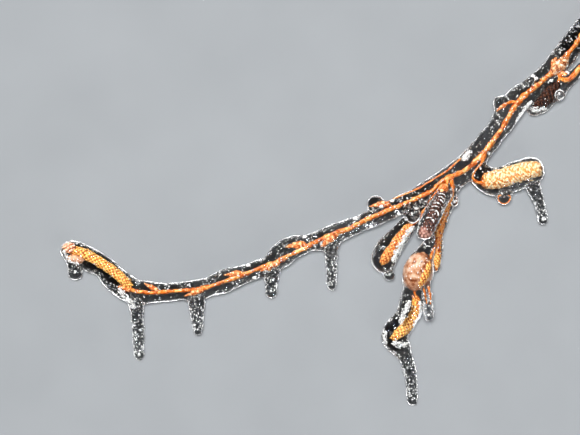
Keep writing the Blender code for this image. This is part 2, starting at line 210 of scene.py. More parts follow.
RIPE_CATKIN = [
    [(61.8, 11.3, 7.4, 1.4), (63, 11.5, 7.3, 2.4), (67.9, 12.1, 7.1, 2.95), (73.5, 13.6, 7, 2.85),
     (79.6, 15.3, 6.8, 2.75), (83, 16.1, 6.8, 2.3), (84.2, 16.2, 6.8, 1.2)],
]
OLD_CONE = [
    [(91.9, 50.4, 5.3, 1), (91, 49.4, 5.3, 1.7), (88.2, 46.2, 5, 2.5), (84.6, 42.6, 4.8, 2.3),
     (82.4, 40.4, 4.6, 1.1)],
]
BUDS = [
    [(-68, -32.8, 5.7, 0.5), (-69.6, -32.1, 5.7, 0.8), (-71.6, -31.2, 5.7, 0.62),
     (-73.6, -30.3, 5.6, 0.12)],
    [(-50, -31.6, 5.9, 0.6), (-51.8, -32.6, 5.9, 1), (-54.6, -33.5, 5.8, 0.8), (-57.4, -34.2, 5.8, 0.14)],
    [(-34, -25.9, 6.2, 0.55), (-35.8, -25.8, 6.2, 0.9), (-38.4, -26.2, 6.1, 0.75),
     (-41.6, -26.9, 6.1, 0.14)],
    [(-19.4, -20, 6.5, 0.6), (-21.2, -21.4, 6.5, 1.02), (-23.8, -22.9, 6.4, 0.85),
     (-27.1, -24.4, 6.3, 0.14)],
    [(-8.8, -14.3, 6.6, 0.6), (-11, -14, 6.6, 1.08), (-13.6, -14.6, 6.6, 0.9), (-16.8, -15.5, 6.5, 0.16)],
    [(3.4, -9.6, 6.9, 0.6), (1.6, -11, 6.9, 1.12), (-0.6, -12.6, 6.8, 0.95), (-3.2, -14.4, 6.8, 0.16)],
    [(24.8, 1, 7.4, 0.6), (23, 2, 7.5, 1.15), (20.4, 2, 7.4, 1), (17.1, 1.4, 7.3, 0.18)],
    [(-79, -32.2, 5.5, 0.5), (-80.6, -31.8, 5.4, 0.85), (-82.2, -31.2, 5.3, 0.7),
     (-84, -30.6, 5.3, 0.14)],
    [(71.4, 41.9, 7, 0.55), (70.4, 41.3, 7, 0.85), (69.2, 40.3, 7.1, 0.7), (68, 39, 7.1, 0.12)],
    [(43, -19, 6, 0.8), (43, -20.8, 6, 1.25), (42.9, -22.6, 6, 1.05), (42.9, -24.2, 6, 0.2)],
    [(102.6, 58.4, 4.8, 0.7), (103.6, 59.4, 4.75, 1), (104.6, 60.2, 4.7, 0.8), (105.8, 61.2, 4.65, 0.15)],
    [(46.6, 9.6, 10.2, 0.7), (46, 8.4, 10.8, 1.3), (45.3, 7.2, 11, 1.2), (44.4, 5.8, 11.3, 0.4)],
    [(92.6, 55.6, 5.3, 0.9), (93.4, 54.6, 5.4, 1.3), (94.4, 54.2, 5.6, 1.1), (95.6, 54.4, 5.8, 0.3)],
    [(90.4, 56.4, 5.3, 0.8), (90.2, 57.8, 5.6, 1.1), (90.6, 59.2, 5.9, 0.9), (91.4, 60.4, 6.1, 0.2)],
]
BURL = [
    [(89.2, 54.6, 5.4, 0.9), (90.6, 56, 5.4, 1.7), (92.6, 57.8, 5.3, 2.1), (94, 59.6, 5.1, 1.6),
     (95.2, 61.4, 4.9, 0.9)],
]
# Milky ice: the round core behind the golden catkin, and the pale hollow at the left tip.
MILKY_CORES = [
    [(38.6, -17.8, 8.3, 0.6), (37.9, -19, 8.3, 2.5), (36.9, -21.4, 8.3, 4.2), (35.9, -24.6, 8.2, 4.9),
     (35.2, -27.8, 8.1, 4.4), (34.9, -30.4, 8, 2.8), (35.2, -31.8, 8, 0.8)],
    [(-104.6, -18.4, 4, 0.5), (-103.6, -19.2, 4.1, 1.5), (-101.2, -19.8, 4.2, 1.75),
     (-98.8, -19.8, 4.2, 1.5), (-97.6, -19.6, 4.2, 0.5)],
]


def arc(x, y, z, radius, first, last, thickness):
    """A level path round part of a circle, between two angles in degrees."""
    turns = [math.radians(angle) for angle in range(first, last + 1, ARC_STEP)]
    return [(x + radius * math.cos(turn), y + radius * math.sin(turn), z, thickness) for turn in turns]


# Golden bract colour in the ice: a ring round the drop under the ripe catkin, a painted refraction of that
# catkin seen in the drop, and a streak into the icicle under the egg.
CATKIN_REFRACTION_AND_STREAKS = [
    arc(70.2, 4.6, 7, 1.95, -230, 50, 0.34),
    [(37.6, -30.6, 10.2, 0.2), (38.2, -32.8, 10.6, 0.3), (38.8, -35.4, 10.8, 0.22),
     (39.2, -37.6, 10.8, 0.1)],
    [(39.2, -30.4, 10.6, 0.25), (39.9, -32.6, 10.9, 0.42), (40.2, -35.2, 11, 0.3),
     (40.3, -37.8, 10.9, 0.12)],
]

# Streaks of white specks near the surface: partly cloudy white ice, partly a painted highlight where light
# flares off the glaze.
CLOUDS_AND_GLARE = [
    [(-105.8, -16.6, 5.4, 0.6), (-104.5, -18.8, 5.2, 0.85), (-102.4, -21, 5.6, 1),
     (-99.6, -21, 5.8, 0.85)],
    [(33.6, -6.6, 7.4, 0.85), (30.1, -11.6, 7.3, 1.1), (27.7, -15.7, 7.3, 1.2), (25.5, -20.6, 7, 1.1)],
    [(-83.6, -31.6, 7, 1), (-81.4, -34.4, 6.6, 1.1), (-78.9, -36.7, 6.2, 1), (-77.6, -39.4, 6, 0.75)],
    [(53.6, 19.6, 10, 0.75), (55.1, 21, 9.9, 1.2), (56.6, 23.2, 10, 0.85)],
    [(80.9, 40.5, 5.4, 0.75), (83.6, 40, 6, 0.95), (86.8, 40.8, 5.6, 0.75)],
    [(32.4, -36.4, 9.6, 0.75), (30.6, -40.8, 8.6, 1), (28.6, -45.6, 8, 0.95)],
    [(26, -52.6, 7, 1), (29.4, -54.4, 6.4, 1.1), (31.2, -53.4, 5.3, 0.85)],
    [(93.9, 55.2, 5.5, 0.5), (96.2, 54.4, 5.6, 0.4)],
    [(36.2, -36.8, 8.6, 0.6), (36.2, -41.7, 7, 0.7), (33.6, -46.2, 6.2, 0.7)],
    [(23.4, -48.8, 5.8, 0.75), (22.8, -50.8, 5.8, 1), (23.8, -53.4, 5.6, 0.75)],
    [(80.6, 43.6, 7.4, 0.4), (78.4, 40.9, 8, 0.7), (76.2, 37.8, 8.2, 0.7), (74.2, 34.6, 8.2, 0.35)],
]
# White arcs across the front catkin and its shoot: painted glints on its freezing rings.
RINGS = [
    arc(44.6, 4.4, 13.2, 1.9, 20, 120, 0.14), arc(44, 3.1, 13.3, 2, 0, 100, 0.14),
    arc(43.3, 1.8, 13.4, 2.1, 20, 140, 0.14), arc(42.7, 0.5, 13.5, 2.1, 0, 120, 0.14),
    arc(42, -0.8, 13.6, 2.1, 20, 120, 0.14), arc(41.3, -2.1, 13.7, 2, 0, 120, 0.14),
    arc(39.6, -5.2, 14, 1.9, 20, 120, 0.14), arc(40.6, -14, 9.2, 1.4, 0, 120, 0.14),
    arc(39.4, -16.2, 9.8, 1.5, 0, 120, 0.14),
]
# Thin white arcs round the rims of three drops: a painted highlight on each drop's edge.
DROP_RIM_HIGHLIGHTS = [
    arc(33.4, -2.6, 10.8, 2.5, 185, 355, 0.1), arc(50.2, 2.7, 8.2, 1.2, 170, 400, 0.08),
    arc(92.2, 45.8, 8.2, 1.8, 40, 220, 0.1), arc(92.2, 45.8, 8.2, 1.8, 260, 340, 0.1),
]
# Painted glints: clusters of white specks just under the skin, where light glints off the outline.
GLINTS = [
    (-9.4, -11, 8.2), (-31.9, -22.4, 7.8), (-29.7, -27, 7.9), (16.9, -6.5, 8.6), (20.9, 1.2, 9),
    (28, -1.6, 9.1), (25.6, 3.3, 9), (10.7, -3.7, 8.5), (81.8, 53.2, 7.6), (83, 52.2, 7.6),
    (88.9, 51.6, 7.4),
]

CUT_POINT = Vector(UPPER_TWIG[-1][:3]) * MM
CUT_DIRECTION = Vector((4.8, 6.4, -0.3)).normalized()
CUT_REACH = 7 * MM
STUB_END = Vector(MAIN_STEM[-1][:3]) * MM
GOLDEN_ANGLE = math.radians(137.508)
ROD_SIDES = 16
SCALE_SEGMENTS, SCALE_RINGS = 8, 5
ICE_IOR = 1.31
# Socket numbers, where a node has several of one name: a random float's limits, and a mixed colour's ends.
LEAST, MOST = 2, 3
FIRST_COLOUR, SECOND_COLOUR = 6, 7


def linear(code):
    """An sRGB hex colour as linear RGBA."""
    parts = [int(code[i:i + 2], 16) / 255 for i in (1, 3, 5)]
    return [c / 12.92 if c <= 0.04045 else ((c + 0.055) / 1.055) ** 2.4 for c in parts] + [1.0]


def every(size, **more):
    """A pattern's inputs, for features that many millimetres apart."""
    return {"Scale": 1 / (size * MM), **more}


def node(tree, kind, *inputs, named=None, stops=(), out=None, **settings):
    """Adds a node with its settings and gives back one output; inputs go by place, then by name."""
    made = tree.nodes.new(kind)
    for name, value in settings.items():
        setattr(made, name, value)
    for key, value in [*enumerate(inputs), *(named or {}).items()]:
        if isinstance(value, bpy.types.NodeSocket):
            tree.links.new(value, made.inputs[key])
        elif value is not None:
            made.inputs[key].default_value = value
    if stops:
        points = made.color_ramp.elements
        while len(points) < len(stops):
            points.new(0.5)
        for point, (place, colour) in zip(points, stops):
            point.position, point.color = place, linear(colour)
    return made.outputs[out] if out is not None else next((s for s in made.outputs if s.enabled), None)


def new_object(name, data):
    """A new object in the scene, at the origin."""
    made = bpy.data.objects.new(name, data)
    bpy.context.scene.collection.objects.link(made)
    return made


def path_object(name, paths, **values):
    """A mesh of open poly-lines; its points carry their thickness and the values given for their path."""
    mesh = bpy.data.meshes.new(name)
    points = [p for path in paths for p in path]
    edges = []
    start = 0
    for path in paths:
        edges += [(start + i, start + i + 1) for i in range(len(path) - 1)]
        start += len(path)
    mesh.from_pydata([(x * MM, y * MM, z * MM) for x, y, z, r in points], edges, [])
    layers = {"thickness": [r * MM for x, y, z, r in points]}
    for label, shares in values.items():
        layers[label] = [share for path, share in zip(paths, shares) for p in path]
    for label, layer in layers.items():
        mesh.attributes.new(label, "FLOAT", "POINT").data.foreach_set("value", layer)
    return new_object(name, mesh)


def grown(name, slot, paths, tree, sizes, **values):
    """Runs the tree on the paths and keeps the result as one plain piece; the slot argument is not used."""
    source = path_object(name + "_paths", paths, **values)
    modifier = source.modifiers.new("grow", "NODES")
    modifier.node_group = tree
    for socket in tree.interface.items_tree:
        if socket.in_out == "INPUT" and socket.name in sizes:
            modifier[socket.identifier] = sizes[socket.name]
    bpy.context.view_layer.update()
    evaluated = source.evaluated_get(bpy.context.evaluated_depsgraph_get())
    mesh = bpy.data.meshes.new_from_object(evaluated)
    mesh.name = name
    source.modifiers.clear()
    bpy.data.objects.remove(source)
    # materials that no face wears are dropped
    worn = {face.material_index for face in mesh.polygons}
    for place in reversed(range(len(mesh.materials))):
        if place not in worn:
            mesh.materials.pop(index=place)
    made = new_object(name, mesh)
    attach(made, "root")
    return made


def new_tree(name, **labels):
    """A Geometry Nodes tree with those inputs of each kind, given back with its inputs and its adder."""
    tree = bpy.data.node_groups.new(name, "GeometryNodeTree")
    tree.is_modifier = True
    for kind, listed in {"Geometry": "Geometry", "Material": "Material", **labels}.items():
        for label in listed.split(", "):
            tree.interface.new_socket(label, in_out="INPUT", socket_type="NodeSocket" + kind)
    tree.interface.new_socket("Geometry", in_out="OUTPUT", socket_type="NodeSocketGeometry")
    add = partial(node, tree)
    return tree, add("NodeGroupInput").node.outputs, add


def smooth_curves(add, given):
    """The source's poly-lines as smooth curves, with each point's thickness."""
    lines = add("GeometryNodeMeshToCurve", given["Geometry"])
    curves = add("GeometryNodeCurveSplineType", lines, spline_type="CATMULL_ROM")
    return curves, add("GeometryNodeInputNamedAttribute", "thickness", data_type="FLOAT")


def rod_along(add, curves, step, thickness):
    """A closed round rod along each curve."""
    smooth = add("GeometryNodeResampleCurve", curves, named={"Length": step}, mode="LENGTH")
    rim = add("GeometryNodeCurvePrimitiveCircle", named={"Resolution": ROD_SIDES, "Radius": 1.0},
              mode="RADIUS")
    return add("GeometryNodeCurveToMesh", smooth, rim, named={"Scale": thickness, "Fill Caps": True})


def turned_out(add, points, turn):
    """The way out of the curve at each point, turned about it, and the rotation that faces that way."""
    tangent, side = points.node.outputs["Tangent"], points.node.outputs["Normal"]
    outward = add("ShaderNodeVectorRotate", side, named={"Axis": tangent, "Angle": turn},
                  rotation_type="AXIS_ANGLE")
    return outward, add("FunctionNodeAxesToRotation", outward, tangent,
                        primary_axis="Z", secondary_axis="X")


def kept_within(add, given, place):
    """A place kept between the tree's lowest and highest corners."""
    raised = add("ShaderNodeVectorMath", place, given["Lowest"], operation="MAXIMUM")
    return add("ShaderNodeVectorMath", raised, given["Highest"], operation="MINIMUM")


def smooth_and_painted(add, given, shape):
    """The shape as real geometry, smooth-shaded and in the tree's material."""
    real = add("GeometryNodeRealizeInstances", shape)
    smooth = add("GeometryNodeSetShadeSmooth", real)
    return add("GeometryNodeSetMaterial", smooth, named={"Material": given["Material"]})


def ice_tree():
    """One skin round all paths, eased where they meet, lumpy along the glaze and ringed where it hangs."""
    tree, given, add = new_tree(
        "Glaze and icicles", Int="Fillet steps",
        Float="Point spacing, Voxel size, Skin growth, Lump size, Lump height, Pebble size, Pebble height, "
              "Ring size, Ring height, Cut reach",
        Vector="Ring stretch, Cut point, Cut direction, Lowest, Highest")
    curves, thickness = smooth_curves(add, given)
    points = add("GeometryNodeCurveToPoints", curves, named={"Length": given["Point spacing"]}, mode="LENGTH")
    radius = add("ShaderNodeMath", thickness, given["Skin growth"], operation="ADD")
    volume = add("GeometryNodePointsToVolume", points,
                 named={"Voxel Size": given["Voxel size"], "Radius": radius}, resolution_mode="VOXEL_SIZE")
    skin = add("GeometryNodeVolumeToMesh", volume,
               named={"Voxel Size": given["Voxel size"], "Threshold": 0.1}, resolution_mode="VOXEL_SIZE")

    # how far the nearest path hangs, and the skin eased where paths meet
    near = add("GeometryNodeSampleNearest", points, domain="POINT")
    hung = add("GeometryNodeInputNamedAttribute", "hung", data_type="FLOAT")
    nearest_hung = add("GeometryNodeSampleIndex", points, named={"Value": hung, "Index": near},
                       data_type="FLOAT", domain="POINT")
    soft_hung = add("GeometryNodeBlurAttribute", named={"Value": nearest_hung, "Iterations": 6},
                    data_type="FLOAT")
    skin = add("GeometryNodeStoreNamedAttribute", skin, named={"Name": "hung", "Value": soft_hung},
               data_type="FLOAT", domain="POINT")
    place = add("GeometryNodeInputPosition")
    soft_place = add("GeometryNodeBlurAttribute", named={"Value": place, "Iterations": given["Fillet steps"]},
                     data_type="FLOAT_VECTOR")
    skin = add("GeometryNodeSetPosition", skin, named={"Position": soft_place})

    drawn_out = add("ShaderNodeVectorMath", place, given["Ring stretch"], operation="MULTIPLY")
    heights = []
    for form, spread, detail in (("Lump", place, 2.0), ("Pebble", place, 2.0), ("Ring", drawn_out, 2.5)):
        per_metre = add("ShaderNodeMath", 1.0, given[form + " size"], operation="DIVIDE")
        waves = add("ShaderNodeTexNoise", spread, named={"Scale": per_metre, "Detail": detail},
                    normalize=False)
        heights.append(add("ShaderNodeMath", waves, given[form + " height"], operation="MULTIPLY"))
    lumps, pebbles, rings = heights
    glaze = add("ShaderNodeMath", 1.0, hung, operation="SUBTRACT")
    ringed = add("ShaderNodeMath", rings, hung, pebbles, operation="MULTIPLY_ADD")
    rise = add("ShaderNodeMath", lumps, glaze, ringed, operation="MULTIPLY_ADD")
    normal = add("GeometryNodeInputNormal")
    offset = add("ShaderNodeVectorMath", normal, named={"Scale": rise}, operation="SCALE")
    skin = add("GeometryNodeSetPosition", skin, named={"Offset": offset})

    # past the cut, everything is pressed back onto the cut's plane
    from_cut = add("ShaderNodeVectorMath", place, given["Cut point"], operation="SUBTRACT")
    along = add("ShaderNodeVectorMath", from_cut, given["Cut direction"], out="Value",
                operation="DOT_PRODUCT")
    distance = add("ShaderNodeVectorMath", from_cut, out="Value", operation="LENGTH")
    at_end = add("ShaderNodeMath", distance, given["Cut reach"], operation="LESS_THAN")
    past = add("ShaderNodeMath", along, 0.0, operation="MAXIMUM")
    over = add("ShaderNodeMath", past, at_end, operation="MULTIPLY")
    outward = add("ShaderNodeVectorMath", given["Cut direction"], named={"Scale": over}, operation="SCALE")
    pressed = add("ShaderNodeVectorMath", place, outward, operation="SUBTRACT")

    # its lowest parts are melted flat, and its highest keep to the room it may take
    skin = add("GeometryNodeSetPosition", skin, named={"Position": kept_within(add, given, pressed)})
    add("NodeGroupOutput", smooth_and_painted(add, given, skin))
    return tree


def stem_tree():
    """A tapering rod along each path, with swelling, wrinkled bark; its cut end has its own finish."""
    tree, given, add = new_tree(
        "Stems", Float="Step, Wrinkle size, Wrinkle height, Cut reach", Vector="Cut point, Cut direction",
        Material="Material, Cut material")
    curves, thickness = smooth_curves(add, given)
    rod = rod_along(add, curves, given["Step"], thickness)
    place = add("GeometryNodeInputPosition")
    normal = add("GeometryNodeInputNormal")
    per_metre = add("ShaderNodeMath", 1.0, given["Wrinkle size"], operation="DIVIDE")
    waves = add("ShaderNodeTexNoise", place, named={"Scale": per_metre, "Roughness": 0.6}, normalize=False)
    wrinkles = add("ShaderNodeMath", waves, given["Wrinkle height"], operation="MULTIPLY")
    offset = add("ShaderNodeVectorMath", normal, named={"Scale": wrinkles}, operation="SCALE")
    bark = add("GeometryNodeSetPosition", rod, named={"Offset": offset})
    painted = smooth_and_painted(add, given, bark)

    # the cut end: the face that looks along the cut, close to its middle
    facing = add("ShaderNodeVectorMath", normal, given["Cut direction"], out="Value", operation="DOT_PRODUCT")
    distance = add("ShaderNodeVectorMath", place, given["Cut point"], out="Value", operation="DISTANCE")
    across = add("FunctionNodeCompare", facing, 0.9, data_type="FLOAT", operation="GREATER_THAN")
    near = add("FunctionNodeCompare", distance, given["Cut reach"], data_type="FLOAT", operation="LESS_THAN")
    at_cut = add("FunctionNodeBooleanMath", across, near, operation="AND")
    flat = add("GeometryNodeSetShadeSmooth", painted, at_cut, False)
    cut = add("GeometryNodeSetMaterial", flat, at_cut, given["Cut material"])
    add("NodeGroupOutput", cut)
    return tree


def scale_tree():
    """A core along each path, covered in overlapping scales that climb it in a golden-angle spiral."""
    tree, given, add = new_tree(
        "Scaly body", Int="Seed",
        Float="Step, Scale spacing, Scale length, Scale width, Scale depth, Tilt, Taper, Curl, Sink, Core, "
              "Size by girth, Least size, Stray angle")
    curves, girth = smooth_curves(add, given)
    core_girth = add("ShaderNodeMath", girth, given["Core"], operation="MULTIPLY")
    core = rod_along(add, curves, given["Step"], core_girth)

    # one scale: a low dome that curls round the body and narrows towards its free end, which is +X
    dome = add("GeometryNodeMeshUVSphere", SCALE_SEGMENTS, SCALE_RINGS, 1.0)
    axes = add("ShaderNodeSeparateXYZ", add("GeometryNodeInputPosition")).node.outputs
    along, across, up = axes["X"], axes["Y"], axes["Z"]
    tapered = add("ShaderNodeMath", along, given["Taper"], operation="MULTIPLY")
    narrow = add("ShaderNodeMath", 1.0, tapered, operation="SUBTRACT")
    narrowed = add("ShaderNodeMath", across, narrow, operation="MULTIPLY")
    width = add("ShaderNodeMath", narrowed, given["Scale width"], operation="MULTIPLY")
    squared = add("ShaderNodeMath", width, width, operation="MULTIPLY")
    droop = add("ShaderNodeMath", squared, given["Curl"], operation="MULTIPLY")
    rise = add("ShaderNodeMath", up, given["Scale depth"], operation="MULTIPLY")
    height = add("ShaderNodeMath", rise, droop, operation="SUBTRACT")
    length = add("ShaderNodeMath", along, given["Scale length"], operation="MULTIPLY")
    shaped = add("ShaderNodeCombineXYZ", length, width, height)
    tipped = add("GeometryNodeStoreNamedAttribute", dome, named={"Name": "tip", "Value": along},
                 data_type="FLOAT", domain="POINT")
    scale = add("GeometryNodeSetPosition", tipped, named={"Position": shaped})
    lean = add("ShaderNodeMath", 0.0, given["Tilt"], operation="SUBTRACT")
    turned = add("ShaderNodeCombineXYZ", 0.0, lean, 0.0)
    scale = add("GeometryNodeTransform", scale, named={"Rotation": turned})

    points = add("GeometryNodeCurveToPoints", curves, named={"Length": given["Scale spacing"]}, mode="LENGTH")
    least = add("ShaderNodeMath", 0.0, given["Stray angle"], operation="SUBTRACT")
    stray = add("FunctionNodeRandomValue",
                named={LEAST: least, MOST: given["Stray angle"], "Seed": given["Seed"]}, data_type="FLOAT")
    order = add("GeometryNodeInputIndex")
    turn = add("ShaderNodeMath", order, GOLDEN_ANGLE, stray, operation="MULTIPLY_ADD")
    outward, facing = turned_out(add, points, turn)
    share = add("ShaderNodeMath", girth, given["Size by girth"], given["Least size"],
                operation="MULTIPLY_ADD")
    placed = add("GeometryNodeInstanceOnPoints", points,
                 named={"Instance": scale, "Rotation": facing, "Scale": share})
    reach = add("ShaderNodeMath", girth, given["Sink"], operation="MULTIPLY")
    away = add("ShaderNodeVectorMath", outward, named={"Scale": reach}, operation="SCALE")
    placed = add("GeometryNodeSetPosition", placed, named={"Offset": away})
    tint_seed = add("ShaderNodeMath", given["Seed"], 1.0, operation="ADD")
    tint = add("FunctionNodeRandomValue", named={LEAST: 0.0, MOST: 1.0, "Seed": tint_seed}, data_type="FLOAT")
    placed = add("GeometryNodeStoreNamedAttribute", placed, named={"Name": "tint", "Value": tint},
                 data_type="FLOAT", domain="INSTANCE")
    both = add("GeometryNodeJoinGeometry", core)
    tree.links.new(placed, both.node.inputs[0])
    add("NodeGroupOutput", smooth_and_painted(add, given, both))
    return tree


def bubble_tree():
    """Air trapped as the water froze: small bubbles, drawn out along each path and scattered about it."""
    tree, given, add = new_tree(
        "Trapped air", Float="Spacing, Smallest, Largest, Size power, Stretch, Nearest, Farthest",
        Vector="Lowest, Highest", Int="Seed, Ball detail")
    curves, thickness = smooth_curves(add, given)
    points = add("GeometryNodeCurveToPoints", curves, named={"Length": given["Spacing"]}, mode="LENGTH")
    draws = []
    for shift, most in enumerate((1.0, math.tau, 1.0, 1.0)):
        seed = add("ShaderNodeMath", given["Seed"], shift, operation="ADD")
        draws.append(add("FunctionNodeRandomValue", named={LEAST: 0.0, MOST: most, "Seed": seed},
                         data_type="FLOAT"))
    kept_draw, turn, reach_draw, size_draw = draws
    share = add("GeometryNodeInputNamedAttribute", "share", data_type="FLOAT")
    kept = add("FunctionNodeCompare", kept_draw, share, data_type="FLOAT", operation="LESS_THAN")
    outward, facing = turned_out(add, points, turn)
    reach = add("ShaderNodeMapRange", reach_draw, 0.0, 1.0, given["Nearest"], given["Farthest"])
    distance = add("ShaderNodeMath", reach, thickness, operation="MULTIPLY")
    away = add("ShaderNodeVectorMath", outward, named={"Scale": distance}, operation="SCALE")
    moved = add("ShaderNodeVectorMath", add("GeometryNodeInputPosition"), away, operation="ADD")
    spots = add("GeometryNodeSetPosition", points, named={"Position": kept_within(add, given, moved)})
    ball = add("GeometryNodeMeshIcoSphere", 1.0, given["Ball detail"])
    mostly_small = add("ShaderNodeMath", size_draw, given["Size power"], operation="POWER")
    size = add("ShaderNodeMapRange", mostly_small, 0.0, 1.0, given["Smallest"], given["Largest"])
    length = add("ShaderNodeMath", size, given["Stretch"], operation="MULTIPLY")
    sizes = add("ShaderNodeCombineXYZ", length, size, size)
    placed = add("GeometryNodeInstanceOnPoints", spots,
                 named={"Selection": kept, "Instance": ball, "Rotation": facing, "Scale": sizes})
    add("NodeGroupOutput", smooth_and_painted(add, given, placed))
    return tree


def new_material(name):
    """An empty material, its node adder, and Object coordinates, in which patterns keep their real size."""
    made = bpy.data.materials.new(name)
    made.use_nodes = True
    made.node_tree.nodes.clear()
    add = partial(node, made.node_tree)
    return made, add, add("ShaderNodeTexCoord", out="Object")


def glaze_ice():
    """Clear glaze ice frozen from rain, drop on drop: colourless and glassy, with freezing ripples that break
    its reflections into glints, and a thin bright rim where it turns away, drawn by a sheen layer that the
    rim lamps light."""
    made, add, place = new_material("clear_glaze_ice")
    film = add("ShaderNodeTexNoise", place, named=every(1.6, Detail=3.0))
    roughness = add("ShaderNodeMapRange", film, 0.3, 0.7, 0.01, 0.03)
    hung = add("ShaderNodeAttribute", attribute_name="hung", out="Fac")
    swells = add("ShaderNodeTexNoise", place, named=every(3.0, Detail=1.0))
    dimples = add("ShaderNodeTexNoise", place, named=every(1.1, Detail=3.0))
    squeezed = add("ShaderNodeMapping", place, named={"Scale": (0.4, 1.0, 0.4)})
    beads = add("ShaderNodeTexNoise", squeezed, named=every(0.7, Detail=3.0))
    beading = add("ShaderNodeMapRange", hung, 0.0, 1.0, 0.5, 1.0)
    hung_beads = add("ShaderNodeMath", beads, beading, operation="MULTIPLY")
    rippled = add("ShaderNodeMath", swells, 1.2, dimples, operation="MULTIPLY_ADD")
    height = add("ShaderNodeMath", hung_beads, 2.0, rippled, operation="MULTIPLY_ADD")
    normal = add("ShaderNodeBump", named={"Height": height, "Distance": 0.13 * MM})
    shader = add("ShaderNodeBsdfPrincipled", named={
        "Base Color": linear("#FFFFFF"), "Roughness": roughness, "IOR": ICE_IOR, "Transmission Weight": 1.0,
        "Sheen Weight": 1.0, "Sheen Roughness": 0.23, "Normal": normal})
    # fresh water ice: a few millimetres of it hardly tint the light
    volume = add("ShaderNodeVolumeAbsorption", linear("#D6ECF5"), 0.05)
    add("ShaderNodeOutputMaterial", shader, volume)
    return made


def trapped_air():
    """Air in a bubble: the ice round it turns light away at its rim, so it shows as a bright bead."""
    made, add, place = new_material("trapped_air")
    film = add("ShaderNodeTexNoise", place, named=every(0.4))
    roughness = add("ShaderNodeMapRange", film, 0.0, 1.0, 0.0, 0.05)
    shader = add("ShaderNodeBsdfPrincipled", named={
        "Base Color": linear("#FFFFFF"), "Roughness": roughness, "IOR": 1 / ICE_IOR,
        "Transmission Weight": 1.0})
    add("ShaderNodeOutputMaterial", shader)
    return made


def cloudy_air_and_painted_glints():
    """Chalk-white specks: partly clusters of air too fine to see one by one, partly painted glints, white
    dots that stand in for light sparkling off the ice.
    """
    made, add, place = new_material("cloudy_air_and_painted_glints")
    film = add("ShaderNodeTexNoise", place, named=every(0.6))
    colour = add("ShaderNodeValToRGB", film, stops=[(0.3, "#E6E6E2"), (0.7, "#FFFFFF")])
    shader = add("ShaderNodeBsdfPrincipled", named={"Base Color": colour, "Roughness": 0.55})
    add("ShaderNodeOutputMaterial", shader)
    return made


def milky_ice():
    """Ice frozen slowly round the catkin with its air and pollen still in it: a pale, salmon-tinted body,
    mottled brown where the bracts behind it show through, with a soft wet gloss."""
    made, add, place = new_material("milky_ice")
    patches = add("ShaderNodeTexNoise", place, named=every(2.6, Detail=5.0, Roughness=0.6))
    colour = add("ShaderNodeValToRGB", patches,
                 stops=[(0.36, "#84482A"), (0.44, "#B27A58"), (0.53, "#CCA082"), (0.66, "#E2C6B2")])
    grains = add("ShaderNodeTexNoise", place, named=every(0.5, Detail=3.0))
    roughness = add("ShaderNodeMapRange", grains, 0.3, 0.7, 0.25, 0.45)
    normal = add("ShaderNodeBump", named={"Height": grains, "Distance": 0.08 * MM})
    shader = add("ShaderNodeBsdfPrincipled", named={
        "Base Color": colour, "Roughness": roughness, "IOR": ICE_IOR, "Normal": normal})
    add("ShaderNodeOutputMaterial", shader)
    return made


def young_bark():
    """Bark of a one-year birch twig, wet through under the ice: smooth, waxy orange-brown skin with fine
    lengthwise wrinkles and pale corky breathing pores, both drawn twice as coarse as real ones."""
    made, add, place = new_material("young_birch_bark")
    stain = add("ShaderNodeTexNoise", place, named=every(1.6, Detail=4.0))
    tone = add("ShaderNodeValToRGB", stain, stops=[(0.3, "#9A3C06"), (0.5, "#E0781C"), (0.7, "#FFC878")])
    pores = add("ShaderNodeTexVoronoi", place, named=every(0.9))
    dots = add("ShaderNodeMapRange", pores, 0.12, 0.24, 1.0, 0.0)
    colour = add("ShaderNodeMix", dots, named={FIRST_COLOUR: tone, SECOND_COLOUR: linear("#FFD8A0")},
                 data_type="RGBA")
    wax = add("ShaderNodeTexNoise", place, named=every(0.5))
    roughness = add("ShaderNodeMapRange", wax, 0.3, 0.7, 0.26, 0.42)
    wrinkles = add("ShaderNodeTexNoise", place, named=every(0.35, Detail=3.0))
    height = add("ShaderNodeMath", wrinkles, dots, operation="ADD")
    normal = add("ShaderNodeBump", named={"Height": height, "Distance": 0.06 * MM})
    shader = add("ShaderNodeBsdfPrincipled", named={
        "Base Color": colour, "Roughness": roughness, "Normal": normal})
    add("ShaderNodeOutputMaterial", shader)
    return made


def callus_bark():
    """Callus where a side shoot left the twig: paler and corkier than the bark, with rusty streaks."""
    made, add, place = new_material("callus_bark")
    cork = add("ShaderNodeTexNoise", place, named=every(1.5, Detail=5.0, Roughness=0.65))
    colour = add("ShaderNodeValToRGB", cork,
                 stops=[(0.38, "#8A4216"), (0.47, "#CC8C58"), (0.54, "#F2CEA4"), (0.62, "#FFF8EC")])
    roughness = add("ShaderNodeMapRange", cork, 0.3, 0.7, 0.4, 0.6)
    normal = add("ShaderNodeBump", named={"Height": cork, "Distance": 0.25 * MM})
    shader = add("ShaderNodeBsdfPrincipled", named={
        "Base Color": colour, "Roughness": roughness, "Normal": normal})
    add("ShaderNodeOutputMaterial", shader)
    return made


def cut_wood():
    """Fresh cut end of the twig: pale damp sapwood round a pith, its fibres coarser than real ones."""
    made, add, place = new_material("cut_sapwood")
    from_middle = add("ShaderNodeVectorMath", place, STUB_END, out="Value", operation="DISTANCE")
    wobble = add("ShaderNodeTexNoise", place, named=every(0.3))
    rings = add("ShaderNodeMath", wobble, 0.2 * MM, from_middle, operation="MULTIPLY_ADD")
    share = add("ShaderNodeMapRange", rings, 0.1 * MM, 0.95 * MM)
    colour = add("ShaderNodeValToRGB", share,
                 stops=[(0.0, "#7A4A22"), (0.25, "#E2C08C"), (0.8, "#D2A468"), (1.0, "#8A5A2C")])
    fibres = add("ShaderNodeTexNoise", place, named=every(0.25, Detail=3.0))
    normal = add("ShaderNodeBump", named={"Height": fibres, "Distance": 0.05 * MM})
    shader = add("ShaderNodeBsdfPrincipled", named={"Base Color": colour, "Roughness": 0.6, "Normal": normal})
    add("ShaderNodeOutputMaterial", shader)
    return made


